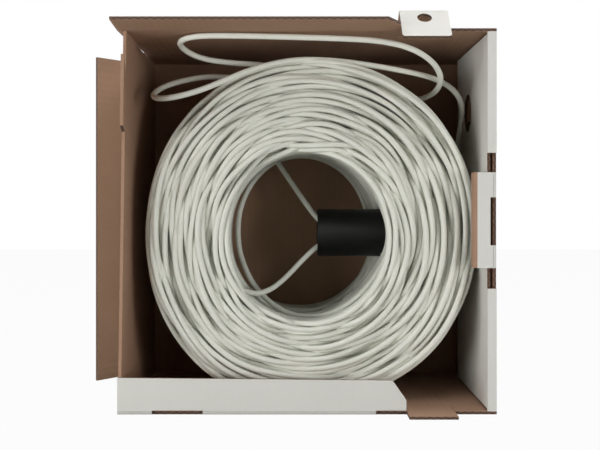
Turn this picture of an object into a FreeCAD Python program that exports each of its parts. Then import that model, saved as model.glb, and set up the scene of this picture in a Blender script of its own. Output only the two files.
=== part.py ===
"""Cable spool box: an open die-cut carton with a figure-eight wound coil of
network cable and the plastic tube that the cable is pulled out through.

Millimetres. X runs along the box's width, -Y is the open mouth, +Z is up.
The origin is the middle of the carton's footprint, on the standing face.
The carton is one folded sheet: each panel is its own solid, cut at its creases.
"""
import FreeCAD, Part
import os
from math import cos, pi, radians, tan
from FreeCAD import Vector

# carton
OUTER_WIDTH = 340.0
INNER_HEIGHT = 341.0
INNER_DEPTH = 200.0
BOARD = 2.7              # one wall of single-wall corrugated board
CREASE_GAP = 0.3         # free space left at a creased or cut edge
TILT_ROOM = 0.5          # the same, where a flap also tilts back past straight
WALL_LEAN = 5.0          # the left wall's top front corner leans in by this much

# top and bottom closing flaps, each cut short of its latch
TOP_FLAP_LENGTH = 35.0
TOP_FLAP_REACH = 252.0   # from the box's left side
TOP_FLAP_TILT = 5.0      # it stands a little above straight out
BOTTOM_FLAP_LENGTH = 30.5
BOTTOM_FLAP_TAPER = 2.3  # its free edge drops by this much towards the right
BOTTOM_FLAP_REACH = 258.6
FLAP_CORNER_X = 12.3     # the cut corner at each flap's free right end
FLAP_CORNER_Z = 17.5
FOLD_SLOT_HEIGHT = 1.0   # slots that weaken the bottom fold
FOLD_SLOTS = [(31.0, 76.5), (231.5, BOTTOM_FLAP_REACH)]   # from the box's left side

# latch at the top: an arm cut out of the top wall, with a holed lip
LATCH_INSET = 26.0       # both latches are creased this far inside the mouth
LATCH_GAP = 0.8          # between a flap's right end and its latch
TOP_LATCH_WIDTH = 43.4
ARM_TILT = 38.0
LIP_LENGTH = 38.5
LIP_FOLD = 83.0          # how far the lip is folded down from the arm
LIP_CORNER = 3.0
LIP_HOLE = 13.0
LIP_HOLE_UP = 28.0       # hole centre above the lip's free edge

# tab at the bottom, lying flat
BOTTOM_TAB_WIDTH = 43.0
BOTTOM_TAB_REACH = 21.0  # beyond the mouth

# right side: outer wall, folded-in ears, and a panel rolled over them
INNER_PANEL_DEPTH = 160.0
BAND_TOP_LENGTH = 109.0
BAND_BOTTOM_LENGTH = 110.0
EAR_HEIGHT = 72.0
EAR_DEPTH = 150.0
LOCK_TAB_BOTTOM = 128.5  # above the inner floor
LOCK_TAB_HEIGHT = 86.0
LOCK_TAB_WIDTH = 14.3
LOCK_TAB_CORNER = 4.0
LOCK_NOTCH_BOTTOM = 149.0
LOCK_NOTCH_LENGTH = 43.0
LOCK_NOTCH_DEPTH = 2.6
TONGUE_DEPTH = 13.0
VENT_DIAMETER = 38.0     # finger hole in the rolled-over panel
VENT_DEPTH = 100.0       # behind the mouth
VENT_HEIGHT = 277.0      # above the inner floor

# left side
SIDE_TAB_BOTTOM = 251.0
SIDE_TAB_HEIGHT = 64.0
SIDE_TAB_LENGTH = 36.0
SIDE_TAB_SLANT = 2.5     # its bottom end rises by this much
SIDE_TAB_RELIEF = 0.8    # round the arc that the top flap's free edge sweeps
SIDE_TAB_TILT = 8.0
CORNER_SLIT_START = 73.0   # open slit along the top left corner, behind the mouth
CORNER_SLIT_END = 136.0
CORNER_SLIT_HEIGHT = 1.6   # in the left wall
CORNER_SLIT_WIDTH = 4.0    # in the top wall
REAR_NOTCHES = [(12.5, 74.0), (236.0, 249.0)]   # open slits beside the rear panel
REAR_NOTCH_DEPTH = 1.2
REAR_FLAP_WIDTH = 76.0
REAR_FLAP_RELIEF = 3.5
REAR_FLAP_FOLD = 50.0    # folded forward from the rear panel's plane

# cable and coil
CABLE_DIAMETER = 5.4
COIL_FRONT = 24.0        # behind the mouth
COIL_REAR_GAP = 2.0      # to the rear panel
COIL_RIGHT_GAP = 1.8     # to the rolled-over panel
COIL_LEFT_GAP = 16.4     # to the left wall's foot
COIL_TOP_GAP = 19.0      # to the top wall
COIL_STRETCH = 11.0      # taller than wide by this much
COIL_SHOULDER = 14.0
COIL_CLEARANCE = 0.3     # over the floor
EYE_WIDTH = 142.0
EYE_FLARE = 6.0
EYE_SHIFT = -5.2         # from the coil's own middle
EYE_DROP = 4.5           # below the coil's own middle
TUBE_SPACE = 4.5         # between the tube and the windings round it

# pay-out tube
TUBE_OUTER = 48.0
TUBE_WALL = 2.0
TUBE_INNER_END = 11.0    # X of its mouth in the coil's eye
TUBE_DEPTH = 115.0       # behind the mouth of the box
TUBE_HEIGHT = 157.0      # above the inner floor
TUBE_FIT = 0.25          # round the tube, in the board
FLANGE_DIAMETER = 66.0
FLANGE_THICKNESS = 2.0
TUBE_NOSE = 4.0          # beyond the flange
MOUTH_ROUND = 0.9

# places that follow from the sizes above
left = -OUTER_WIDTH / 2
right = OUTER_WIDTH / 2
front = -(INNER_DEPTH + BOARD) / 2
rear = front + INNER_DEPTH            # the rear panel's inner face
floor = BOARD                         # the bottom wall's inner face
ceiling = floor + INNER_HEIGHT        # the top wall's inner face
inner_left = left + BOARD
roll_face = right - 3 * BOARD         # the rolled-over panel's inner face
latch_crease = front + LATCH_INSET
flap_crease = front - BOARD - CREASE_GAP   # the top flap closes over the side tab
tube_y = front + TUBE_DEPTH
tube_z = floor + TUBE_HEIGHT
tube_hole = TUBE_OUTER + 2 * TUBE_FIT
coil_front = front + COIL_FRONT
coil_back = rear - COIL_REAR_GAP
coil_width = min(roll_face - COIL_RIGHT_GAP - inner_left - COIL_LEFT_GAP,
                 INNER_HEIGHT - COIL_CLEARANCE - COIL_TOP_GAP - COIL_STRETCH)
coil_x = roll_face - COIL_RIGHT_GAP - coil_width / 2
coil_z = floor + COIL_CLEARANCE + (coil_width + COIL_STRETCH) / 2
same = 1e-6              # lengths closer than this are equal


def block(x0, x1, y0, y1, z0, z1):
    return Part.makeBox(x1 - x0, y1 - y0, z1 - z0, Vector(x0, y0, z0))


def prism(points, along):
    """Straight extrusion of a flat outline."""
    wire = Part.makePolygon(points + [points[0]])
    return Part.Face(wire).extrude(along)


def turned(shape, pivot, axis, angle):
    out = shape.copy()
    out.rotate(pivot, axis, angle)
    return out


def round_hole(diameter, start, along):
    return Part.makeCylinder(diameter / 2, along.Length, start, along)


def rounded_edges(shape, radius, chosen):
    return shape.makeFillet(radius, [e for e in shape.Edges if chosen(e)])


# ---- carton: fixed panels --------------------------------------------------

def rear_panel():
    return block(left, right, rear, rear + BOARD, 0, ceiling + BOARD)


def top_wall():
    wall = block(left, right, front, rear, ceiling, ceiling + BOARD)
    brow = block(left, left + TOP_FLAP_REACH, flap_crease, front, ceiling, ceiling + BOARD)
    wall = wall.fuse(brow).removeSplitter()
    x0 = left + TOP_FLAP_REACH + LATCH_GAP
    gate = block(x0 - CREASE_GAP, x0 + TOP_LATCH_WIDTH + CREASE_GAP,
                 front - 1, latch_crease, ceiling - 1, ceiling + BOARD + 1)
    slit = block(left - 1, left + CORNER_SLIT_WIDTH, front + CORNER_SLIT_START, front + CORNER_SLIT_END,
                 ceiling - 1, ceiling + BOARD + 1)
    return wall.cut([gate, slit])


def bottom_wall():
    wall = block(left, right, front, rear, 0, floor)
    x0 = left + BOTTOM_FLAP_REACH + LATCH_GAP
    gate = block(x0 - CREASE_GAP, x0 + BOTTOM_TAB_WIDTH + CREASE_GAP,
                 front - 1, latch_crease, -1, floor + 1)
    return wall.cut(gate)


def left_wall():
    """Stands square at the floor and leans in towards its top front corner."""
    def outline(z, lean):
        corners = [Vector(left + lean, front, z), Vector(inner_left + lean, front, z),
                   Vector(inner_left, rear, z), Vector(left, rear, z)]
        return Part.makePolygon(corners + [corners[0]])
    wall = Part.makeLoft([outline(floor, 0), outline(ceiling, WALL_LEAN)], True, True)
    slit = block(left - 1, inner_left + WALL_LEAN + 1,
                 front + CORNER_SLIT_START, front + CORNER_SLIT_END,
                 ceiling - CORNER_SLIT_HEIGHT, ceiling + 1)
    wall = wall.cut(slit)
    for low, high in REAR_NOTCHES:
        wall = wall.cut(block(left - 1, inner_left + 1, rear - REAR_NOTCH_DEPTH, rear + 1,
                              floor + low, floor + high))
    return wall


def right_outer_wall():
    wall = block(right - BOARD, right, front + BOARD, rear, floor, ceiling)
    return wall.cut(round_hole(tube_hole, Vector(right - BOARD - 1, tube_y, tube_z),
                               Vector(BOARD + 2, 0, 0)))


def right_inner_panel():
    panel = block(roll_face, roll_face + BOARD, front + BOARD, front + INNER_PANEL_DEPTH,
                  floor, ceiling)
    through = Vector(BOARD + 2, 0, 0)
    vent = round_hole(VENT_DIAMETER,
                      Vector(roll_face - 1, front + VENT_DEPTH, floor + VENT_HEIGHT), through)
    tube = round_hole(tube_hole, Vector(roll_face - 1, tube_y, tube_z), through)
    return panel.cut(vent).cut(tube)


def front_band(low, high):
    return block(roll_face, right, front, front + BOARD, low, high)


def ear(low, high):
    """Ear of the top or bottom wall, caught between the two right-hand plies."""
    return block(roll_face + BOARD, right - BOARD, front + BOARD, front + EAR_DEPTH, low, high)


# ---- carton: hinged panels -------------------------------------------------

def top_dust_flap():
    pivot = Vector(left, flap_crease, ceiling)
    y1 = flap_crease - TILT_ROOM
    y0 = flap_crease - TOP_FLAP_LENGTH
    x1 = left + TOP_FLAP_REACH
    corners = [Vector(left, y1, ceiling), Vector(x1, y1, ceiling),
               Vector(x1, y0 + FLAP_CORNER_Z, ceiling),
               Vector(x1 - FLAP_CORNER_X, y0, ceiling), Vector(left, y0, ceiling)]
    flap = prism(corners, Vector(0, 0, BOARD))
    return turned(flap, pivot, Vector(1, 0, 0), -TOP_FLAP_TILT)


def bottom_dust_flap():
    """Folded up across the mouth; slots along its fold let the board bend."""
    z0 = floor + CREASE_GAP
    z1 = floor + BOTTOM_FLAP_LENGTH
    x1 = left + BOTTOM_FLAP_REACH
    z2 = z1 - BOTTOM_FLAP_TAPER
    corners = [Vector(left, front, z0), Vector(x1, front, z0),
               Vector(x1, front, z2 - FLAP_CORNER_Z),
               Vector(x1 - FLAP_CORNER_X, front, z2), Vector(left, front, z1)]
    flap = prism(corners, Vector(0, -BOARD, 0))
    for low, high in FOLD_SLOTS:
        flap = flap.cut(block(left + low, left + high + 0.01, front - BOARD - 1, front + 1,
                              z0 - 1, z0 + FOLD_SLOT_HEIGHT))
    return flap


def bottom_tuck_tab():
    x0 = left + BOTTOM_FLAP_REACH + LATCH_GAP
    return block(x0, x0 + BOTTOM_TAB_WIDTH, front - BOTTOM_TAB_REACH,
                 latch_crease - CREASE_GAP, 0, floor)


# the arm turns on the outer liner, the lip on the arm's inner liner
arm_pivot = Vector(0, latch_crease, ceiling + BOARD)
lip_pivot = Vector(0, front, ceiling)


def top_latch_arm():
    x0 = left + TOP_FLAP_REACH + LATCH_GAP
    arm = block(x0, x0 + TOP_LATCH_WIDTH, front + CREASE_GAP, latch_crease - CREASE_GAP,
                ceiling, ceiling + BOARD)
    return turned(arm, arm_pivot, Vector(1, 0, 0), -ARM_TILT)


def top_latch_lip():
    x0 = left + TOP_FLAP_REACH + LATCH_GAP
    x1 = x0 + TOP_LATCH_WIDTH
    lip = block(x0, x1, front - LIP_LENGTH, front - CREASE_GAP, ceiling, ceiling + BOARD)
    free = front - LIP_LENGTH
    lip = rounded_edges(lip, LIP_CORNER, lambda e: abs(e.Length - BOARD) < same
                        and abs(e.CenterOfMass.y - free) < same)
    lip = lip.cut(round_hole(LIP_HOLE, Vector((x0 + x1) / 2, free + LIP_HOLE_UP, ceiling - 1),
                             Vector(0, 0, BOARD + 2)))
    lip = turned(lip, lip_pivot, Vector(1, 0, 0), LIP_FOLD)
    return turned(lip, arm_pivot, Vector(1, 0, 0), -ARM_TILT)


lock_pivot_x = right - BOARD


def right_lock_tab():
    x1 = lock_pivot_x - CREASE_GAP
    x0 = x1 - LOCK_TAB_WIDTH
    z0 = floor + LOCK_TAB_BOTTOM
    z1 = z0 + LOCK_TAB_HEIGHT
    tab = block(x0, x1, front, front + BOARD, z0, z1)
    notch = floor + LOCK_NOTCH_BOTTOM
    return tab.cut(block(x1 - LOCK_NOTCH_DEPTH, x1 + 1, front - 1, front + BOARD + 1,
                         notch, notch + LOCK_NOTCH_LENGTH))


def lock_tab_tongue():
    x1 = lock_pivot_x - CREASE_GAP - LOCK_TAB_WIDTH
    z0 = floor + LOCK_TAB_BOTTOM
    tongue = block(x1 - BOARD, x1, front, front + BOARD + TONGUE_DEPTH,
                   z0, z0 + LOCK_TAB_HEIGHT)
    deep = front + BOARD + TONGUE_DEPTH
    return rounded_edges(tongue, LOCK_TAB_CORNER, lambda e: abs(e.Length - BOARD) < same
                         and abs(e.CenterOfMass.y - deep) < same)


# the left wall's front inner edge, which its tab turns on
edge_foot = Vector(inner_left, front, floor)
edge_head = Vector(inner_left + WALL_LEAN, front, ceiling)
edge_way = (edge_head - edge_foot).normalize()


def left_front_tab():
    """Its top corner is cut back round the arc that the top flap swings through."""
    start = edge_foot + edge_way * SIDE_TAB_BOTTOM
    end = start + edge_way * SIDE_TAB_HEIGHT
    near = Vector(0, -CREASE_GAP, 0)
    far = Vector(0, -SIDE_TAB_LENGTH, 0)
    slant = edge_way * SIDE_TAB_SLANT
    tab = prism([start + near, end + near, end + far, start + far + slant],
                Vector(-BOARD, 0, 0))
    tab = turned(tab, edge_foot, edge_way, SIDE_TAB_TILT)
    sweep = round_hole(2 * (TOP_FLAP_LENGTH + SIDE_TAB_RELIEF), Vector(left, flap_crease, ceiling),
                       Vector(OUTER_WIDTH / 4, 0, 0))
    return tab.cut(sweep)


def rear_side_flap():
    x1 = left - 2 * CREASE_GAP
    top = ceiling + BOARD
    flap = block(left - REAR_FLAP_WIDTH, x1, rear, rear + BOARD,
                 REAR_FLAP_RELIEF, top - REAR_FLAP_RELIEF)
    return turned(flap, Vector(left - CREASE_GAP, rear, 0), Vector(0, 0, 1), REAR_FLAP_FOLD)


# ---- pay-out tube ----------------------------------------------------------

def payout_tube():
    """One moulding: tube, flange on the outside of the box, short nose."""
    r_out, r_in = TUBE_OUTER / 2, TUBE_OUTER / 2 - TUBE_WALL
    flange_end = right + FLANGE_THICKNESS
    end = flange_end + TUBE_NOSE
    profile = [(TUBE_INNER_END, r_in), (end, r_in), (end, r_out), (flange_end, r_out),
               (flange_end, FLANGE_DIAMETER / 2), (right, FLANGE_DIAMETER / 2),
               (right, r_out), (TUBE_INNER_END, r_out)]
    corners = [Vector(x, tube_y, tube_z + r) for x, r in profile]
    face = Part.Face(Part.makePolygon(corners + [corners[0]]))
    tube = face.revolve(Vector(0, tube_y, tube_z), Vector(1, 0, 0), 360)
    return rounded_edges(tube, MOUTH_ROUND, lambda e: abs(e.CenterOfMass.x - TUBE_INNER_END) < same
                         and e.Curve.TypeId == "Part::GeomCircle")


# ---- coil ------------------------------------------------------------------

def drum(radius, x, z, rim, flared):
    """A disc about Y through the coil's depth, stretched upwards, with round rims.

    The rims turn in, or flare out where the disc cuts the eye.
    """
    y0, y1 = coil_front, coil_back
    r_rim = radius + rim if flared else radius - rim
    mid_rim = radius + (r_rim - radius) * (1 - cos(radians(45)))
    mid_y = rim * (1 - cos(radians(45)))
    corners = [Vector(0, y0, 0), Vector(r_rim, y0, 0), Vector(radius, y0 + rim, 0),
               Vector(radius, y1 - rim, 0), Vector(r_rim, y1, 0), Vector(0, y1, 0)]
    edges = [Part.makeLine(corners[0], corners[1]),
             Part.Arc(corners[1], Vector(mid_rim, y0 + mid_y, 0), corners[2]).toShape(),
             Part.makeLine(corners[2], corners[3]),
             Part.Arc(corners[3], Vector(mid_rim, y1 - mid_y, 0), corners[4]).toShape(),
             Part.makeLine(corners[4], corners[5]),
             Part.makeLine(corners[5], corners[0])]
    face = Part.Face(Part.Wire(edges))
    half = face.revolve(Vector(0, 0, 0), Vector(0, 1, 0), -180)
    other = turned(half, Vector(0, 0, 0), Vector(0, 1, 0), 180)
    half.translate(Vector(x, 0, z + COIL_STRETCH / 2))
    other.translate(Vector(x, 0, z - COIL_STRETCH / 2))
    face.translate(Vector(x, 0, z - COIL_STRETCH / 2))
    mirrored = turned(face, Vector(x, 0, z), Vector(0, 1, 0), 180)
    middle = [face.extrude(Vector(0, 0, COIL_STRETCH)), mirrored.extrude(Vector(0, 0, -COIL_STRETCH))]
    return half.fuse([other] + middle).removeSplitter()


def cable_coil():
    """The outer shape of the windings, with the eye and the way for the tube."""
    body = drum(coil_width / 2, coil_x, coil_z, COIL_SHOULDER, False)
    eye = drum(EYE_WIDTH / 2, coil_x + EYE_SHIFT, coil_z - EYE_DROP, EYE_FLARE, True)
    way = round_hole(TUBE_OUTER + 2 * TUBE_SPACE, Vector(0, tube_y, tube_z),
                     Vector(right, 0, 0))
    return body.cut(eye).cut(way)


# ---- loose cable -----------------------------------------------------------

TOP_LOOP = [
    (94, -1, 289), (105.5, -13, 291), (117.5, -28, 293), (125.5, -44, 298),
    (126.5, -61.5, 306), (121, -76, 313.5), (112, -88, 320.5), (98, -96, 327.5),
    (81, -97.8, 333), (57.5, -97.8, 336.6), (20.5, -97.8, 338.2), (-15.5, -97.8, 339.2),
    (-47, -97.8, 340), (-72, -97.8, 340.4), (-92, -97.4, 340.4), (-105.3, -94, 339.8),
    (-115, -84.8, 338.6), (-118.5, -71.5, 337), (-115, -58.3, 333.5), (-105.3, -48.6, 329.3),
    (-91, -44.5, 326), (-70, -42.5, 324), (-47, -38, 323.4), (-24, -31, 321.5)]
TOP_TAIL = [
    (-44, -15, 309), (-62, -22, 311.5), (-81, -28, 313), (-100, -31, 312.5),
    (-117, -32.5, 309.2), (-131, -36.5, 305), (-141.2, -46.5, 298.7), (-145, -60.5, 291.8),
    (-141.2, -74.5, 286.8), (-131, -84.5, 285.2), (-117, -89, 286.7), (-98, -90.5, 291.8),
    (-78, -89, 300), (-56, -83.5, 310.3), (-32.5, -75.5, 318.7), (-6.5, -67.5, 324.1),
    (26.5, -63.5, 323.5), (60, -61.5, 319.3), (92, -57, 314.5), (119.5, -49, 309.5),
    (138, -39.5, 302), (149.5, -29, 292), (154, -17, 280.5), (154.3, -3, 267),
    (154, 10, 253), (154.5, 22, 238), (152.5, 35, 223.5), (148, 49, 211)]
UPPER_LEAD = [
    (-36, 54, 241), (-24, 44.5, 224), (-12, 34, 206), (0, 24, 188.5), (10, 17.8, 175),
    (22, 16.5, 165), (38, 17.8, 159.8), (62, 18.6, 158.6), (95, 18, 159.6), (128, 18.6, 158.8),
    (156, 18.2, 159.4)]
LOWER_LEAD = [
    (-62, -18.5, 97), (-48, -11.5, 101), (-33, -6, 110.5), (-18, -1.5, 122.5), (-3, 3, 135),
    (10, 6.5, 145.5), (24, 8.4, 152.4), (42, 9, 155.2), (66, 8.5, 154.2), (98, 9, 155),
    (130, 8.6, 154.2), (158, 9, 154.8)]


def tube_along(route, diameter, label):
    """A round tube on straight runs joined by arcs as large as the runs allow."""
    points = [Vector(*p) for p in route]
    edges, radii, start = [], [], points[0]
    for before, here, after in zip(points, points[1:], points[2:]):
        back, on = (before - here), (after - here)
        shorter = min(back.Length, on.Length)
        back.normalize()
        on.normalize()
        half_turn = (radians(180) - back.getAngle(on)) / 2
        reach = 0.45 * shorter
        radius = reach / tan(half_turn)
        to_middle = radius / cos(half_turn) - radius
        inward = (back + on).normalize()
        first, last = here + back * reach, here + on * reach
        edges.append(Part.LineSegment(start, first).toShape())
        edges.append(Part.Arc(first, here + inward * to_middle, last).toShape())
        radii.append(radius)
        start = last
    edges.append(Part.LineSegment(start, points[-1]).toShape())
    path = Part.Wire(edges)
    ring = Part.Wire(Part.makeCircle(diameter / 2, points[0], points[1] - points[0]))
    tube = path.makePipeShell([ring], True, False)
    expected = path.Length * pi * diameter ** 2 / 4
    print("%s: %.0f mm long, smallest radius %.1f, volume %.4f of section x length"
          % (label, path.Length, min(radii), tube.Volume / expected))
    return tube


# ---- everything ------------------------------------------------------------

pieces = {
    "rear_panel": rear_panel(),
    "top_wall": top_wall(),
    "bottom_wall": bottom_wall(),
    "left_wall": left_wall(),
    "right_outer_wall": right_outer_wall(),
    "right_inner_panel": right_inner_panel(),
    "right_band_upper": front_band(ceiling - BAND_TOP_LENGTH, ceiling),
    "right_band_lower": front_band(floor, floor + BAND_BOTTOM_LENGTH),
    "right_ear_upper": ear(ceiling - EAR_HEIGHT, ceiling),
    "right_ear_lower": ear(floor, floor + EAR_HEIGHT),
    "top_dust_flap": top_dust_flap(),
    "bottom_dust_flap": bottom_dust_flap(),
    "bottom_tuck_tab": bottom_tuck_tab(),
    "top_latch_arm": top_latch_arm(),
    "top_latch_lip": top_latch_lip(),
    "right_lock_tab": right_lock_tab(),
    "lock_tab_tongue": lock_tab_tongue(),
    "left_front_tab": left_front_tab(),
    "rear_side_flap": rear_side_flap(),
    "payout_tube": payout_tube(),
    "cable_coil": cable_coil(),
    "top_loop": tube_along(TOP_LOOP, CABLE_DIAMETER, "top_loop"),
    "top_tail": tube_along(TOP_TAIL, CABLE_DIAMETER, "top_tail"),
    "upper_lead": tube_along(UPPER_LEAD, CABLE_DIAMETER, "upper_lead"),
    "lower_lead": tube_along(LOWER_LEAD, CABLE_DIAMETER, "lower_lead"),
}

os.makedirs("parts", exist_ok=True)
for node, shape in pieces.items():
    if not shape.isValid() or len(shape.Solids) != 1:
        print("check", node, "valid", shape.isValid(), "solids", len(shape.Solids))
    shape.exportStep("parts/" + node + ".step")
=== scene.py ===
import bpy
import bmesh
import math
import numpy as np
from mathutils import Matrix, Vector


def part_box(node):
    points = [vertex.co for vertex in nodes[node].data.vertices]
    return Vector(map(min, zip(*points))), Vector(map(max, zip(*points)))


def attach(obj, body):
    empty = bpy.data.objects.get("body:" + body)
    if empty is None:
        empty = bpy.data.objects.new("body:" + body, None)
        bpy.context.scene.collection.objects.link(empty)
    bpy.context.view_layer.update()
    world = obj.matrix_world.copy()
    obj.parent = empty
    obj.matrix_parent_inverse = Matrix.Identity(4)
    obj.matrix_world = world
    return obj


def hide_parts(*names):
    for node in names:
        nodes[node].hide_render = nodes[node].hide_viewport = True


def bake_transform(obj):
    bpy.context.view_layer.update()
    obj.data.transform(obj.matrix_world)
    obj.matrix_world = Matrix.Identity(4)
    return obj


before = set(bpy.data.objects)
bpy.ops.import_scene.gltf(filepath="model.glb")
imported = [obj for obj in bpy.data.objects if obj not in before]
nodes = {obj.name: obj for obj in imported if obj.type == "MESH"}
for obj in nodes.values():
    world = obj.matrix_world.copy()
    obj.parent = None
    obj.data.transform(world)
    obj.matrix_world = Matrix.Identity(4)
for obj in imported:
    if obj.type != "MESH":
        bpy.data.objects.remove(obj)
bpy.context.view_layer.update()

mm = 0.001

# where the carton's planes are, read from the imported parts
rearLow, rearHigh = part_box("rear_panel")
board = rearHigh.y - rearLow.y
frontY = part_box("bottom_wall")[0].y
rearY = rearLow.y
floorZ = board
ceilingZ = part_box("top_wall")[0].z
leftX, rightX = rearLow.x, rearHigh.x
cableDiameter = 5.4 * mm
flutePitch = 7.0 * mm
rng = np.random.default_rng(7)


# colours and nodes
def colour(hexText):
    parts = [int(hexText[i:i + 2], 16) / 255 for i in (0, 2, 4)]
    return tuple(c / 12.92 if c <= 0.04045 else ((c + 0.055) / 1.055) ** 2.4 for c in parts) + (1.0,)


def addNode(tree, kind, settings=None, inputs=None, links=None):
    # settings are the node's own values, inputs its socket values, links socket -> other socket
    node = tree.nodes.new(kind)
    for key, value in (settings or {}).items():
        setattr(node, key, value)
    for key, value in (inputs or {}).items():
        node.inputs[key].default_value = value
    for key, source in (links or {}).items():
        tree.links.new(source, node.inputs[key])
    return node


def newMaterial(name, **surface):
    material = bpy.data.materials.new(name)
    material.use_nodes = True
    tree = material.node_tree
    shader = tree.nodes["Principled BSDF"]
    for key, value in surface.items():
        shader.inputs[key].default_value = value
    return material, tree, shader


# sRGB colours; the white one is a clay coat on the same paper, smoother and hiding the flutes better
liners = {
    "kraft_liner": {"base": "B08D76", "dark": "9F7D63", "speck": "82634B", "roughness": 0.85,
                    "fluteStrength": 0.3},
    "white_clay_liner": {"base": "DFDED8", "dark": "D7D5CF", "speck": "C9C6BE", "roughness": 0.6,
                         "fluteStrength": 0.12},
}
# clouds of about 70 mm, and fibres of about 1 mm
paperGrain = {"cloudScale": 14.0, "fibre": 1.2 * mm, "speckShare": 0.55, "speckFrom": 0.38, "speckTo": 0.30,
              "fluteHeight": 0.25 * mm, "fibreStrength": 0.25, "fibreHeight": 0.1 * mm}


def linerMaterial(name, base, dark, speck, roughness, fluteStrength):
    # paper liner: matt, mottled by its fibres, with the flutes telegraphing through
    material, tree, shader = newMaterial(name, Roughness=roughness)
    place = addNode(tree, "ShaderNodeTexCoord").outputs["Object"]
    uv = addNode(tree, "ShaderNodeUVMap", {"uv_map": "board"})
    cloud = addNode(tree, "ShaderNodeTexNoise",
                    inputs={"Scale": paperGrain["cloudScale"], "Detail": 4.0, "Roughness": 0.6},
                    links={"Vector": place})
    fibre = addNode(tree, "ShaderNodeTexNoise",
                    inputs={"Scale": 1 / paperGrain["fibre"], "Detail": 3.0, "Roughness": 0.7},
                    links={"Vector": place})
    mottle = addNode(tree, "ShaderNodeMix", {"data_type": "RGBA"}, {"A": colour(base), "B": colour(dark)},
                     {"Factor": cloud.outputs["Fac"]})
    specks = addNode(tree, "ShaderNodeMapRange",
                     inputs={"From Min": paperGrain["speckFrom"], "From Max": paperGrain["speckTo"],
                             "To Max": paperGrain["speckShare"]},
                     links={"Value": fibre.outputs["Fac"]})
    tinted = addNode(tree, "ShaderNodeMix", {"data_type": "RGBA"}, {"B": colour(speck)},
                     {"Factor": specks.outputs["Result"], "A": mottle.outputs["Result"]})
    tree.links.new(tinted.outputs["Result"], shader.inputs["Base Color"])
    along = addNode(tree, "ShaderNodeSeparateXYZ", links={"Vector": uv.outputs["UV"]})
    turns = addNode(tree, "ShaderNodeMath", {"operation": "MULTIPLY"}, {1: 2 * math.pi},
                    {0: along.outputs["X"]})
    wave = addNode(tree, "ShaderNodeMath", {"operation": "SINE"}, links={0: turns.outputs[0]})
    flutes = addNode(tree, "ShaderNodeBump",
                     inputs={"Strength": fluteStrength, "Distance": paperGrain["fluteHeight"]},
                     links={"Height": wave.outputs[0]})
    paper = addNode(tree, "ShaderNodeBump",
                    inputs={"Strength": paperGrain["fibreStrength"], "Distance": paperGrain["fibreHeight"]},
                    links={"Height": fibre.outputs["Fac"], "Normal": flutes.outputs["Normal"]})
    tree.links.new(paper.outputs["Normal"], shader.inputs["Normal"])
    return material


# shares of the board's thickness: how far the wavy paper swings, and where each paper starts to show
# the 'air' colour is painted shade: the flutes' hollows drawn dark because they lie in shade
cutEdge = {"air": "453428", "paper": "85695A", "roughness": 0.9, "swing": 0.36,
           "linerFrom": 0.38, "linerTo": 0.43, "mediumFrom": 0.20, "mediumTo": 0.08,
           "reliefStrength": 0.5, "reliefHeight": 0.4 * mm}


def fluteMaterial(name):
    # cut edge of corrugated board: two liners and a wavy medium, with painted shade in the hollow flutes
    # between them, where the dark 'air' colour stands for the shade inside them
    material, tree, shader = newMaterial(name, Roughness=cutEdge["roughness"])
    uv = addNode(tree, "ShaderNodeUVMap", {"uv_map": "board"})
    axes = addNode(tree, "ShaderNodeSeparateXYZ", links={"Vector": uv.outputs["UV"]})
    turns = addNode(tree, "ShaderNodeMath", {"operation": "MULTIPLY"}, {1: 2 * math.pi},
                    {0: axes.outputs["X"]})
    wave = addNode(tree, "ShaderNodeMath", {"operation": "SINE"}, links={0: turns.outputs[0]})
    centre = addNode(tree, "ShaderNodeMath", {"operation": "MULTIPLY_ADD"}, {1: cutEdge["swing"], 2: 0.5},
                     {0: wave.outputs[0]})
    fromWave = addNode(tree, "ShaderNodeMath", {"operation": "SUBTRACT"},
                       links={0: axes.outputs["Y"], 1: centre.outputs[0]})
    offWave = addNode(tree, "ShaderNodeMath", {"operation": "ABSOLUTE"}, links={0: fromWave.outputs[0]})
    fromMiddle = addNode(tree, "ShaderNodeMath", {"operation": "SUBTRACT"}, {1: 0.5}, {0: axes.outputs["Y"]})
    offMiddle = addNode(tree, "ShaderNodeMath", {"operation": "ABSOLUTE"}, links={0: fromMiddle.outputs[0]})
    liner = addNode(tree, "ShaderNodeMapRange",
                    inputs={"From Min": cutEdge["linerFrom"], "From Max": cutEdge["linerTo"]},
                    links={"Value": offMiddle.outputs[0]})
    medium = addNode(tree, "ShaderNodeMapRange",
                     inputs={"From Min": cutEdge["mediumFrom"], "From Max": cutEdge["mediumTo"]},
                     links={"Value": offWave.outputs[0]})
    paper = addNode(tree, "ShaderNodeMath", {"operation": "MAXIMUM"},
                    links={0: liner.outputs["Result"], 1: medium.outputs["Result"]})
    # painted shade: wherever the mask finds no paper, the flutes' hollows take the dark 'air' colour
    shade = addNode(tree, "ShaderNodeMix", {"data_type": "RGBA"},
                    {"A": colour(cutEdge["air"]), "B": colour(cutEdge["paper"])},
                    {"Factor": paper.outputs[0]})
    tree.links.new(shade.outputs["Result"], shader.inputs["Base Color"])
    relief = addNode(tree, "ShaderNodeBump",
                     inputs={"Strength": cutEdge["reliefStrength"], "Distance": cutEdge["reliefHeight"]},
                     links={"Height": paper.outputs[0]})
    tree.links.new(relief.outputs["Normal"], shader.inputs["Normal"])
    return material


jacketFinish = {"paleGrey": "E4E5DA", "lightGrey": "EDEEE4", "roughness": 0.6, "specular": 0.2,
                "cloudScale": 30.0, "grain": 0.9 * mm, "grainStrength": 0.08, "grainHeight": 0.1 * mm}


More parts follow.
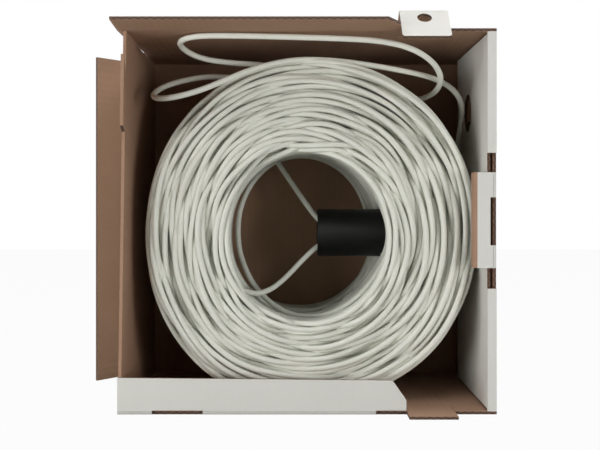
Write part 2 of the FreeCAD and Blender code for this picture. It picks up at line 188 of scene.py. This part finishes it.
def vinylJacket(name):
    # extruded PVC cable jacket: smooth, a little waxy, faintly uneven in its grey
    material, tree, shader = newMaterial(name, Roughness=jacketFinish["roughness"])
    shader.inputs["Specular IOR Level"].default_value = jacketFinish["specular"]
    place = addNode(tree, "ShaderNodeTexCoord").outputs["Object"]
    cloud = addNode(tree, "ShaderNodeTexNoise", inputs={"Scale": jacketFinish["cloudScale"], "Detail": 3.0},
                    links={"Vector": place})
    tone = addNode(tree, "ShaderNodeMix", {"data_type": "RGBA"},
                   {"A": colour(jacketFinish["paleGrey"]), "B": colour(jacketFinish["lightGrey"])},
                   {"Factor": cloud.outputs["Fac"]})
    tree.links.new(tone.outputs["Result"], shader.inputs["Base Color"])
    grain = addNode(tree, "ShaderNodeTexNoise", inputs={"Scale": 1 / jacketFinish["grain"], "Detail": 2.0},
                    links={"Vector": place})
    bump = addNode(tree, "ShaderNodeBump",
                   inputs={"Strength": jacketFinish["grainStrength"],
                           "Distance": jacketFinish["grainHeight"]},
                   links={"Height": grain.outputs["Fac"]})
    tree.links.new(bump.outputs["Normal"], shader.inputs["Normal"])
    return material


tubeFinish = {"colour": "0A0A09", "specular": 0.3, "smoothest": 0.34, "roughest": 0.5,
              "grain": 1.5 * mm, "grainStrength": 0.12, "grainHeight": 0.1 * mm}


def mouldedPolyethylene(name):
    # black injection-moulded tube: satin, with a fine texture that breaks up its gloss
    material, tree, shader = newMaterial(name)
    shader.inputs["Base Color"].default_value = colour(tubeFinish["colour"])
    shader.inputs["Specular IOR Level"].default_value = tubeFinish["specular"]
    place = addNode(tree, "ShaderNodeTexCoord").outputs["Object"]
    grain = addNode(tree, "ShaderNodeTexNoise", inputs={"Scale": 1 / tubeFinish["grain"], "Detail": 4.0},
                    links={"Vector": place})
    rough = addNode(tree, "ShaderNodeMapRange",
                    inputs={"To Min": tubeFinish["smoothest"], "To Max": tubeFinish["roughest"]},
                    links={"Value": grain.outputs["Fac"]})
    tree.links.new(rough.outputs["Result"], shader.inputs["Roughness"])
    bump = addNode(tree, "ShaderNodeBump",
                   inputs={"Strength": tubeFinish["grainStrength"], "Distance": tubeFinish["grainHeight"]},
                   links={"Height": grain.outputs["Fac"]})
    tree.links.new(bump.outputs["Normal"], shader.inputs["Normal"])
    return material


kraftLiner, whiteLiner = (linerMaterial(name, **facts) for name, facts in liners.items())
fluteEdge = fluteMaterial("corrugated_cut_edge")
jacket = vinylJacket("grey_vinyl_jacket")
blackPlastic = mouldedPolyethylene("black_polyethylene")
boardMaterials = (kraftLiner, whiteLiner, fluteEdge)
kraftSide, whiteSide, cutSide = range(3)   # their places on a panel
print("materials made")


def finishPiece(name, bm, materials):
    mesh = bpy.data.meshes.new(name)
    bm.to_mesh(mesh)
    bm.free()
    for material in materials:
        mesh.materials.append(material)
    piece = bpy.data.objects.new(name, mesh)
    bpy.context.scene.collection.objects.link(piece)
    return piece


# camera, a little left of the carton's middle and level with it
view = {"place": (-6.5 * mm, -937.35 * mm, 187.8 * mm), "lens": 55.92, "sensor": 36, "shiftY": -0.0333,
        "nearest": 0.05, "farthest": 20}
cameraData = bpy.data.cameras.new("camera")
cameraData.sensor_width = view["sensor"]
cameraData.lens = view["lens"]
cameraData.shift_y = view["shiftY"]
cameraData.clip_start = view["nearest"]
cameraData.clip_end = view["farthest"]
camera = bpy.data.objects.new("camera", cameraData)
camera.location = view["place"]
camera.rotation_euler = (math.pi / 2, 0, 0)
bpy.context.scene.collection.objects.link(camera)
bpy.context.scene.camera = camera


# cable: smooth tubes through the points of their course
def smoothCurve(name, points, diameter, resolution, sides):
    data = bpy.data.curves.new(name, "CURVE")
    data.dimensions = "3D"
    data.bevel_depth = 1.0   # scaled by each point's radius, which also keeps the curve's bounds tight
    data.bevel_resolution = sides
    data.resolution_u = resolution
    data.use_fill_caps = True
    spline = data.splines.new("NURBS")
    spline.points.add(len(points) - 1)
    for point, place in zip(spline.points, points):
        point.co = (*place, 1)
        point.radius = diameter / 2
    spline.order_u = 3
    spline.use_endpoint_u = True
    spline.use_smooth = True
    data.materials.append(jacket)
    piece = bpy.data.objects.new(name, data)
    bpy.context.scene.collection.objects.link(piece)
    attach(piece, "carton")
    return piece


# course in mm, from the end that leaves the coil
looseCable = {
    "top_loop": {"length": 0.467, "farEnd": "object", "route": [
        (94, -1, 289), (105.5, -13, 291), (117.5, -28, 293), (125.5, -44, 298),
        (126.5, -61.5, 306), (121, -76, 313.5), (112, -88, 320.5), (98, -96, 327.5),
        (81, -97.8, 333), (57.5, -97.8, 336.6), (20.5, -97.8, 338.2), (-15.5, -97.8, 339.2),
        (-47, -97.8, 340), (-72, -97.8, 340.4), (-92, -97.4, 340.4), (-105.3, -94, 339.8),
        (-115, -84.8, 338.6), (-118.5, -71.5, 337), (-115, -58.3, 333.5), (-105.3, -48.6, 329.3),
        (-91, -44.5, 326), (-70, -42.5, 324), (-47, -38, 323.4), (-24, -31, 321.5)]},
    "top_tail": {"length": 0.568, "farEnd": "object", "route": [
        (-44, -15, 309), (-62, -22, 311.5), (-81, -28, 313), (-100, -31, 312.5),
        (-117, -32.5, 309.2), (-131, -36.5, 305), (-141.2, -46.5, 298.7), (-145, -60.5, 291.8),
        (-141.2, -74.5, 286.8), (-131, -84.5, 285.2), (-117, -89, 286.7), (-98, -90.5, 291.8),
        (-78, -89, 300), (-56, -83.5, 310.3), (-32.5, -75.5, 318.7), (-6.5, -67.5, 324.1),
        (26.5, -63.5, 323.5), (60, -61.5, 319.3), (92, -57, 314.5), (119.5, -49, 309.5),
        (138, -39.5, 302), (149.5, -29, 292), (154, -17, 280.5), (154.3, -3, 267),
        (154, 10, 253), (154.5, 22, 238), (152.5, 35, 223.5), (148, 49, 211)]},
    "upper_lead": {"length": 0.238, "farEnd": "object", "route": [
        (-36, 54, 241), (-24, 44.5, 224), (-12, 34, 206), (0, 24, 188.5), (10, 17.8, 175),
        (22, 16.5, 165), (38, 17.8, 159.8), (62, 18.6, 158.6), (95, 18, 159.6), (128, 18.6, 158.8),
        (156, 18.2, 159.4)]},
    "lower_lead": {"length": 0.241, "farEnd": "object", "route": [
        (-64, -27, 105), (-56, -20, 101.3), (-48, -14, 100), (-39.5, -10, 102), (-30, -5, 107),
        (-18, 0, 117.5), (-4, 4, 132.5), (10, 6.5, 145.5), (24, 8.4, 152.4), (42, 9, 155.2),
        (66, 8.5, 154.2), (98, 9, 155), (130, 8.6, 154.2), (151.5, 9, 154.8)]},
}
for name, facts in looseCable.items():
    route = [Vector(place) * mm for place in facts["route"]]
    strand = smoothCurve("cable_" + name, route, cableDiameter, resolution=6, sides=2)
    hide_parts(name)
print("loose cable laid")


# the coil: one cable wound to and fro over the eye, so that each two turns make a figure of eight
# sizes in mm; a direction is in degrees, from the right and up
winding = {
    "turns": 394, "pointsPerTurn": 60, "sections": 4,
    "eyeRadius": 71.0, "outerRadius": 155.5, "stretch": 5.5,   # the coil stands this much taller than round
    "eyeCentre": (-0.6, 159.5), "eyeSlant": -6.0, "coilCentre": (4.6, 164.0),
    "front": -75.0, "back": 93.5, "shoulder": 12.0,
    "wallGap": 3.0, "steepest": 0.2,   # off the carton's walls, and below which sine a wall doesn't count
    # direction, and how much fuller than round the coil is there
    "fuller": [(0, 0.0), (45, 2.0), (90, 0.0), (135, 2.5), (180, 0.5), (215, 5.5), (238, 9.0), (262, 0.0),
               (300, 2.0), (325, 2.5), (360, 0.0)],
    # direction, and how much fuller than round the eye is there at the open face
    "eyeFuller": [(0, 3.5), (45, 1.5), (90, 0.0), (180, 0.0), (225, 1.5), (270, 3.0), (315, 4.0), (360, 3.5)],
    # direction, and how much further out the eye's wall lies there behind the open face
    "wall": [(0, 6.5), (35, 4.5), (60, 3.5), (180, 4.0), (226, 9.5), (265, 2.5), (320, 3.0), (360, 6.5)],
    "wallFrom": 8, "wallWithin": 20,   # where the wall starts behind the open face, and how soon it is full
    "wallTurns": 9, "firstTurnsShare": 0.35, "firstTurns": 0.8,   # the first turns stand proud of the wall
    "wallRough": 4.0, "roughSpread": (-1.2, 2.2), "roughLength": 9,
    "wallSpread": 3.6, "wallLayer": 9,   # turns in the wall's layer lie this much further apart
    # the first turn hangs loose in the eye: direction, radius, place along Y
    "looseTurn": [(0, 75.0, 88.0), (60, 76.0, 78.0), (110, 75.0, 60.0), (150, 68.5, 50.0), (180, 65.5, 40.0),
                  (208, 66.5, 25.0), (233, 70.5, 10.0), (258, 75.0, -14.0), (285, 76.0, -34.0),
                  (330, 74.5, -52.0)],
    "looseUntil": 315, "looseFade": 40,
    # the to-and-fro: degrees that it moves on with each two turns, and how far past the faces it aims
    "startPhase": 0.9, "advance": 7.4, "advanceJitter": 3.0, "roundness": 0.985,
    "overshoot": (0.72, 1.08), "overshootStep": 0.5,
    "rise": 3.5, "riseSpread": (-1.6, 2.4), "riseLength": 12,   # of the loosest turns out of the open face
    "wander": 6.0, "wanderRate": 2.3, "wanderLength": 4,
    # the tuck tab swings up in front of the coil as high as this, so the turns stay back there
    "tabHeight": 34.0, "tabFade": 20, "tabGap": 1,
    "holeY": 13.65, "holeZ": 159.7, "holeLift": 2.5, "holeRadius": 30.5,   # kept free for the tube
    "pitch": 5.9, "sweeps": 80, "neighbours": 31, "leastGap": 0.01, "pushShare": 0.3, "pushLength": 3.0,
    "lastLength": 1.0,
}


def alongCable(values, sigma):
    # evens out a value along the whole cable, where it is kept as one row per turn
    size = math.ceil(3 * sigma)
    weights = np.exp(-0.5 * (np.arange(-size, size + 1) / sigma) ** 2)
    flat = np.convolve(np.pad(values.ravel(), size, "edge"), weights / weights.sum(), "valid")
    return flat.reshape(values.shape)


def scattered(spread, length, plan):
    # one random value for each turn, evened out along the cable and kept from 0 to 1
    values = rng.uniform(*spread, (plan["turns"], 1)).repeat(plan["pointsPerTurn"], 1)
    return np.clip(alongCable(values, length), 0, 1)


def pushApart(radius, sideways, pitch, order, plan):
    # moves the points of turns that lie closer together than the pitch, in both arrays themselves
    near = np.take_along_axis(radius, order, 0)
    far = np.take_along_axis(sideways, order, 0)
    moves = np.zeros((2, *radius.shape))
    for k in range(1, plan["neighbours"] + 1):
        apart = np.stack([near[k:] - near[:-k], far[k:] - far[:-k]])
        gap = np.hypot(*apart) + plan["leastGap"]
        push = apart * np.clip(pitch[k:] - gap, 0, None) / gap * plan["pushShare"]
        moves[:, k:] += push
        moves[:, :-k] -= push
    for values, move in ((radius, moves[0]), (sideways, moves[1])):
        pushed = np.zeros(radius.shape)
        np.put_along_axis(pushed, order, move, 0)
        values += alongCable(pushed, plan["pushLength"])


def windCable(plan):
    turns, count, front, back = plan["turns"], plan["pointsPerTurn"], plan["front"], plan["back"]
    coilX, coilZ = plan["coilCentre"]
    eyeX, eyeZ = plan["eyeCentre"]
    radiusOfCable = cableDiameter / mm / 2
    turn = (np.arange(turns * count) / count).reshape(turns, count)
    theta = 2 * np.pi * turn
    cosine, sine, degrees = np.cos(theta[0]), np.sin(theta[0]), np.degrees(theta[0])

    # how far out the turns may lie in each direction
    inner = plan["eyeRadius"] + radiusOfCable + np.interp(degrees, *zip(*plan["eyeFuller"]))
    outer = plan["outerRadius"] - radiusOfCable + np.interp(degrees, *zip(*plan["fuller"]))
    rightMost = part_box("right_inner_panel")[0].x / mm - plan["wallGap"]
    outer = np.where(cosine > plan["steepest"], np.minimum(outer, (rightMost - coilX) / cosine), outer)
    lowest = floorZ / mm + plan["wallGap"]
    toFloor = (coilZ - lowest) / np.maximum(-sine, plan["steepest"]) - plan["stretch"]
    outer = np.where(sine < -plan["steepest"], np.minimum(outer, toFloor), outer)
    radius = inner + (outer - inner) * turn / turns

    # the to-and-fro, which moves on a little with each two turns
    advance = np.radians(rng.normal(plan["advance"], plan["advanceJitter"], turns // 2 + 2))
    phase = np.repeat(plan["startPhase"] + np.cumsum(advance), 2)
    drift = np.interp(turn, np.arange(len(phase)), phase)
    swing = np.arcsin(plan["roundness"] * np.sin(theta / 2 + drift)) / math.asin(plan["roundness"])
    middle, reach = (front + back) / 2, (back - front) / 2
    aims = np.arange(0, turns + 2, plan["overshootStep"])
    overshoot = np.interp(turn, aims, rng.uniform(*plan["overshoot"], len(aims)))
    sideways = middle + reach * np.clip(overshoot * swing, -1 - plan["rise"] / reach, 1)
    wall = np.interp(degrees, *zip(*plan["wall"]))
    rough = plan["wallRough"] * scattered(plan["roughSpread"], plan["roughLength"], plan)
    loose = plan["rise"] * scattered(plan["riseSpread"], plan["riseLength"], plan)
    bends = int(turns * plan["wanderRate"]) + 3
    wander = np.interp(turn * plan["wanderRate"], np.arange(bends), rng.normal(0, 1, bends))
    radius = radius + plan["wander"] * alongCable(wander, plan["wanderLength"])

    # turns that lie too close push each other apart, and stay between the faces and off the tube's way
    late = np.clip(turn / plan["wallTurns"] - plan["firstTurns"], 0, 1)
    fullWall = wall * (plan["firstTurnsShare"] + (1 - plan["firstTurnsShare"]) * late) + rough
    for _ in range(plan["sweeps"]):
        inWall = np.clip(1 - (radius - inner - wall) / plan["wallLayer"], 0, 1)
        inWall = inWall * np.clip((sideways - front - plan["wallFrom"]) / plan["wallWithin"], 0, 1)
        order = np.argsort(sideways, axis=0)
        pitch = plan["pitch"] + plan["wallSpread"] * np.take_along_axis(inWall, order, 0)
        pushApart(radius, sideways, pitch, order, plan)
        behind = np.clip((sideways - front - plan["wallFrom"]) / plan["wallWithin"], 0, 1)
        radius = np.clip(radius, inner + behind * fullWall, outer)
        rounding = np.clip((radius - (outer - plan["shoulder"])) / plan["shoulder"], 0, 1)
        inset = plan["shoulder"] * (1 - np.sqrt(1 - rounding ** 2))
        height = coilZ + (radius + plan["stretch"]) * sine
        clearOfTab = np.clip((height - plan["tabHeight"]) / plan["tabFade"], 0, 1)
        foremost = front + plan["tabGap"] - (plan["tabGap"] + loose) * clearOfTab
        sideways = np.clip(sideways, foremost + inset, back - inset)
        across = height - plan["holeZ"] - plan["holeLift"]
        clear = np.sqrt(np.clip(plan["holeRadius"] ** 2 - across ** 2, 0, None)) * (cosine > 0)
        off = sideways - plan["holeY"]
        beside = plan["holeY"] + np.where(off >= 0, clear, -clear)
        sideways = np.where(np.abs(off) < clear, beside, sideways)

    looseAt, looseRadius, looseSide = zip(*plan["looseTurn"])
    kept = np.clip((degrees - plan["looseUntil"]) / plan["looseFade"], 0, 1)
    radius[0] = kept * radius[0] + (1 - kept) * np.interp(degrees, looseAt, looseRadius)
    sideways[0] = kept * sideways[0] + (1 - kept) * np.interp(degrees, looseAt, looseSide)
    radius, sideways = alongCable(radius, plan["lastLength"]), alongCable(sideways, plan["lastLength"])

    # the centre moves from the eye's to the coil's with the radius, and the eye leans with the depth
    share = (radius - inner) / (outer - inner)
    depth = (sideways - front) / (back - front)
    leaning = eyeX + plan["eyeSlant"] * depth
    x = leaning + (coilX - leaning) * share + radius * cosine
    z = eyeZ + (coilZ - eyeZ) * share + (radius + plan["stretch"]) * sine
    return np.stack([x.ravel(), sideways.ravel(), z.ravel()], axis=1) * mm


spots = windCable(winding)
print("wound cable", round(float(np.linalg.norm(np.diff(spots, axis=0), axis=1).sum()), 1), "m")
cuts = [round(i * len(spots) / winding["sections"]) for i in range(winding["sections"] + 1)]
for i, (first, last) in enumerate(zip(cuts, cuts[1:])):
    course = [tuple(spot) for spot in spots[first:last + 1]]   # sections share the point where they meet
    wound = smoothCurve(f"winding_{i + 1}", course, cableDiameter, resolution=2, sides=1)
    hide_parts("cable_coil")
print("coil wound")


# carton panels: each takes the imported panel's shape, with white outside, kraft inside and fluted cut edges
dressing = {"merge": 0.01 * mm, "flat": 0.5, "outwardLean": 0.5, "sideLean": 0.8, "foldLean": 0.9,
            "atWall": 0.1 * mm}


def dressPanel(name, body, outwards, across, slot, folds=(), short=0):
    # folds are edges folded or crushed shut, which show a liner
    # short is what the panel stands off the carton's bottom and top
    bm = bmesh.new()
    bm.from_mesh(nodes[name].data)
    bmesh.ops.remove_doubles(bm, verts=bm.verts[:], dist=dressing["merge"])
    bmesh.ops.dissolve_limit(bm, angle_limit=math.radians(dressing["flat"]), verts=bm.verts[:],
                             edges=bm.edges[:])
    for vert in bm.verts:
        if vert.co.z < floorZ + dressing["atWall"]:
            vert.co.z += short
        elif vert.co.z > ceilingZ - dressing["atWall"]:
            vert.co.z -= short
    outwards = Vector(outwards).normalized()
    outerFaces = [f for f in bm.faces if f.normal.dot(outwards) > dressing["outwardLean"]]
    sheetFace = max(outerFaces, key=lambda f: f.calc_area())
    normal = sheetFace.normal.copy()
    top = sheetFace.calc_center_median().dot(normal)
    across = Vector(across)
    across = (across - normal * across.dot(normal)).normalized()
    uv = bm.loops.layers.uv.new("board")
    for face in bm.faces:
        lean = face.normal.dot(normal)
        face.material_index = cutSide
        if lean > dressing["sideLean"]:
            face.material_index = whiteSide
        elif lean < -dressing["sideLean"]:
            face.material_index = kraftSide
        for way, side in folds:
            if face.normal.dot(Vector(way)) > dressing["foldLean"]:
                face.material_index = side
        for loop in face.loops:
            co = loop.vert.co
            if face.material_index == cutSide:
                loop[uv].uv = (co.dot(across) / flutePitch, (co.dot(normal) - top) / board + 1)
            else:
                loop[uv].uv = (co.dot(across) / flutePitch, co.dot(normal.cross(across)) / flutePitch)
    bmesh.ops.triangulate(bm, faces=[f for f in bm.faces if len(f.verts) > 4])
    piece = finishPiece("board_" + name, bm, boardMaterials)
    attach(piece, body)
    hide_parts(name)


# body, outward side, direction across the flutes, slot, edges that show a liner, what it stands off
bandEdges = [((1, 0, 0), whiteSide), ((-1, 0, 0), whiteSide)]
plainFront = [((0, -1, 0), kraftSide)]
panels = {
    "rear_panel": ("carton", (0, 1, 0), (1, 0, 0), "kraft_board"),
    "top_wall": ("carton", (0, 0, 1), (1, 0, 0), "kraft_board"),
    "bottom_wall": ("carton", (0, 0, -1), (1, 0, 0), "kraft_board"),
    "left_wall": ("carton", (-1, 0, 0), (0, 0, 1), "kraft_board", plainFront),
    "right_outer_wall": ("carton", (1, 0, 0), (0, 0, 1), "kraft_board"),
    "right_ear_upper": ("carton", (1, 0, 0), (0, 0, 1), "kraft_board"),
    "right_ear_lower": ("carton", (1, 0, 0), (0, 0, 1), "kraft_board"),
    "right_inner_panel": ("carton", (-1, 0, 0), (0, 0, 1), "white_board", (), 2.0 * mm),
    "right_band_upper": ("carton", (0, -1, 0), (0, 0, 1), "white_board", bandEdges),
    "right_band_lower": ("carton", (0, -1, 0), (0, 0, 1), "white_board", bandEdges),
    "right_lock_tab": ("lock_tab", (0, -1, 0), (1, 0, 0), "white_board"),
    "lock_tab_tongue": ("lock_tab", (1, 0, 0), (0, 1, 0), "kraft_board", plainFront),
    "top_dust_flap": ("top_flap", (0, 0, 1), (1, 0, 0), "kraft_board"),
    "bottom_dust_flap": ("bottom_flap", (0, -1, 0), (1, 0, 0), "white_board"),
    "bottom_tuck_tab": ("bottom_tab", (0, 0, -1), (1, 0, 0), "kraft_board"),
    "top_latch_arm": ("latch_arm", (0, 0, 1), (1, 0, 0), "kraft_board"),
    "top_latch_lip": ("latch_lip", (0, -1, 0), (1, 0, 0), "white_board", [((0, 0, -1), whiteSide)]),
    "left_front_tab": ("side_tab", (-1, 0, 0), (0, 0, 1), "kraft_board", plainFront),
    "rear_side_flap": ("side_flap", (-0.6, 0.8, 0), (0, 0, 1), "kraft_board"),
}
for name, facts in panels.items():
    dressPanel(name, *facts)
print("panels dressed")


# creases: the liner that carries on round each fold, curved round it at the fold's present angle
# the strips lie at one place of the flute pattern, so they show no flutes
creaseFinish = {"thickness": 0.45 * mm, "steps": 8, "flutePlace": (0.25, 0.25)}


def creaseStrip(name, bodies, pivot, axis, start, angle, spans, material):
    # start is the strip's edge on the first body, angle how far round the pivot the second body's edge lies
    pivot, axis, start = Vector(pivot), Vector(axis).normalized(), Vector(start)
    angle = math.radians(angle)
    bm = bmesh.new()
    for low, high in spans:
        foot, head = (bm.verts.new(start + axis * along) for along in (low, high))
        edge = bm.edges.new((foot, head))
        bmesh.ops.spin(bm, geom=[foot, head, edge], cent=pivot, axis=axis, angle=angle,
                       steps=creaseFinish["steps"], use_duplicate=False)
    bmesh.ops.recalc_face_normals(bm, faces=bm.faces[:])
    middle = pivot + Matrix.Rotation(angle / 2, 3, axis) @ (start - pivot)
    sample = min(bm.faces, key=lambda f: (f.calc_center_median() - middle).length)
    if sample.normal.dot(middle - pivot) < 0:
        bmesh.ops.reverse_faces(bm, faces=bm.faces[:])
    bmesh.ops.solidify(bm, geom=bm.faces[:], thickness=creaseFinish["thickness"])
    uv = bm.loops.layers.uv.new("board")
    for face in bm.faces:
        for loop in face.loops:
            loop[uv].uv = creaseFinish["flutePlace"]
    bmesh.ops.recalc_face_normals(bm, faces=bm.faces[:])
    piece = finishPiece("crease_" + name, bm, [material])
    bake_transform(piece)


# lengths along a crease are measured from its pivot
lockLow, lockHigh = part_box("right_lock_tab")
armLow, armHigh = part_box("top_latch_arm")
tabLow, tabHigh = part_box("bottom_tuck_tab")
sideFlapLow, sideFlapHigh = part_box("rear_side_flap")
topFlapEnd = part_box("top_dust_flap")[1].x
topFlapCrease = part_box("top_wall")[0].y
latchCrease = frontY + 26.0 * mm
latchDrop = Matrix.Rotation(math.radians(-38), 3, "X")
armPivot = Vector((armLow.x, latchCrease, ceilingZ + board))
lipPivot = armPivot + latchDrop @ Vector((0, frontY - latchCrease, -board))
leftEdgeFoot = Vector((leftX + board, frontY, floorZ))
leftEdgeHead = Vector((leftX + board + 5.0 * mm, frontY, ceilingZ))
rearFlapX = leftX - 0.3 * mm
creases = {
    "bottom_flap": {
        "bodies": ("carton", "bottom_flap"), "pivot": (leftX, frontY, floorZ), "axis": (1, 0, 0),
        "start": (leftX, frontY, 0), "angle": -90, "material": whiteLiner,
        "spans": [(0, 31.0 * mm), (76.5 * mm, 231.5 * mm)]},   # its fold slots lie between
    "lock_tab": {
        "bodies": ("carton", "lock_tab"), "pivot": (rightX - board, frontY + board, 0), "axis": (0, 0, 1),
        "start": (rightX, frontY + board, 0), "angle": -90, "material": whiteLiner,
        "spans": [(lockLow.z, 151.7 * mm), (194.7 * mm, lockHigh.z)]},   # above and below its notch
    "top_flap": {
        "bodies": ("carton", "top_flap"), "pivot": (leftX, topFlapCrease, ceilingZ), "axis": (1, 0, 0),
        "start": (leftX, topFlapCrease, ceilingZ + board), "angle": -6, "material": whiteLiner,
        "spans": [(0, topFlapEnd - leftX)]},
    "latch_arm": {
        "bodies": ("carton", "latch_arm"), "pivot": armPivot, "axis": (1, 0, 0),
        "start": armPivot + Vector((0, 0.3 * mm, -board)), "angle": -44, "material": kraftLiner,
        "spans": [(0, armHigh.x - armLow.x)]},
    "latch_lip": {
        "bodies": ("latch_arm", "latch_lip"), "pivot": lipPivot, "axis": (1, 0, 0),
        "start": lipPivot + latchDrop @ Vector((0, 0, board)), "angle": 83, "material": whiteLiner,
        "spans": [(0, armHigh.x - armLow.x)]},
    "bottom_tab": {
        "bodies": ("carton", "bottom_tab"), "pivot": (tabLow.x, latchCrease, floorZ), "axis": (1, 0, 0),
        "start": (tabLow.x, latchCrease + 0.25 * mm, 0), "angle": -11, "material": whiteLiner,
        "spans": [(0, tabHigh.x - tabLow.x)]},
    "side_tab": {
        "bodies": ("carton", "side_tab"), "pivot": leftEdgeFoot, "axis": leftEdgeHead - leftEdgeFoot,
        "start": leftEdgeFoot - Vector((board, 0, 0)), "angle": 14, "material": whiteLiner,
        "spans": [(253.5 * mm, 312 * mm)]},
    "rear_flap": {
        "bodies": ("carton", "side_flap"), "pivot": (rearFlapX, rearY, 0), "axis": (0, 0, 1),
        "start": (rearFlapX, rearY + board, 0), "angle": 50, "material": whiteLiner,
        "spans": [(sideFlapLow.z, sideFlapHigh.z)]},
}
for name, facts in creases.items():
    creaseStrip(name, **facts)
print("creases bridged")

# the pay-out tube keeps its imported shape
for slot in nodes["payout_tube"].material_slots:
    slot.material = blackPlastic

# floor, backdrop and lights
# a lamp: place, size across and power in watts
studio = {
    "floorSize": 6.0, "floorColour": "A9A9A6", "whiteShare": 0.96, "worldStrength": 0.01,
    "aim": (0, -0.05, 0.17),
    "lamps": {
        "top_left_lamp": ((-0.8, 0.0, 1.5), 0.8, 6.5),
        "top_right_lamp": ((0.8, 0.0, 1.5), 0.8, 9.5),
        "top_front_lamp": ((0.0, -0.7, 1.5), 0.9, 6.0),
        "low_left_lamp": ((-1.0, -1.2, 0.12), 0.6, 7.6),
        "low_right_lamp": ((1.0, -1.2, 0.12), 0.6, 9.8),
        "side_lamp": ((-1.4, -0.6, 0.1), 0.6, 9.0),
        "rear_lamp": ((0.6, 1.9, 1.6), 1.3, 5.0),
    },
}
bm = bmesh.new()
bmesh.ops.create_grid(bm, x_segments=1, y_segments=1, size=studio["floorSize"] / 2)
paperFloor, floorTree, floorShader = newMaterial("studio_paper", Roughness=0.9)
floorShader.inputs["Base Color"].default_value = colour(studio["floorColour"])
floorRays = addNode(floorTree, "ShaderNodeLightPath")
whiteShare = addNode(floorTree, "ShaderNodeMath", {"operation": "MULTIPLY"}, {1: studio["whiteShare"]},
                     {0: floorRays.outputs["Is Camera Ray"]})
plainWhite = addNode(floorTree, "ShaderNodeEmission", inputs={"Color": (1, 1, 1, 1), "Strength": 1.0})
floorMix = addNode(floorTree, "ShaderNodeMixShader",
                   links={0: whiteShare.outputs[0], 1: floorShader.outputs["BSDF"],
                          2: plainWhite.outputs["Emission"]})
floorTree.links.new(floorMix.outputs["Shader"], floorTree.nodes["Material Output"].inputs["Surface"])
floorPiece = finishPiece("studio_floor", bm, [paperFloor])

# the air is white to look at and in gloss, and gives hardly any light itself
world = bpy.data.worlds.new("studio_air")
bpy.context.scene.world = world
world.use_nodes = True
air = world.node_tree
background = air.nodes["Background"]
background.inputs["Color"].default_value = (1, 1, 1, 1)
rays = addNode(air, "ShaderNodeLightPath")
seenOrGlossy = addNode(air, "ShaderNodeMath", {"operation": "MAXIMUM"},
                       links={0: rays.outputs["Is Camera Ray"], 1: rays.outputs["Is Glossy Ray"]})
seen = addNode(air, "ShaderNodeMath", {"operation": "MAXIMUM"},
               links={0: seenOrGlossy.outputs[0], 1: rays.outputs["Is Transmission Ray"]})
strength = addNode(air, "ShaderNodeMapRange", inputs={"To Min": studio["worldStrength"], "To Max": 1.0},
                   links={"Value": seen.outputs[0]})
air.links.new(strength.outputs["Result"], background.inputs["Strength"])


def softLamp(name, place, size, watts):
    data = bpy.data.lights.new(name, "AREA")
    data.shape = "DISK"
    data.size = size
    data.energy = watts
    lamp = bpy.data.objects.new(name, data)
    lamp.location = place
    lamp.rotation_euler = (Vector(studio["aim"]) - Vector(place)).to_track_quat("-Z", "Y").to_euler()
    bpy.context.scene.collection.objects.link(lamp)


for name, (place, size, watts) in studio["lamps"].items():
    softLamp(name, place, size, watts)
print("studio lit")

bpy.context.scene.view_settings.view_transform = "Standard"
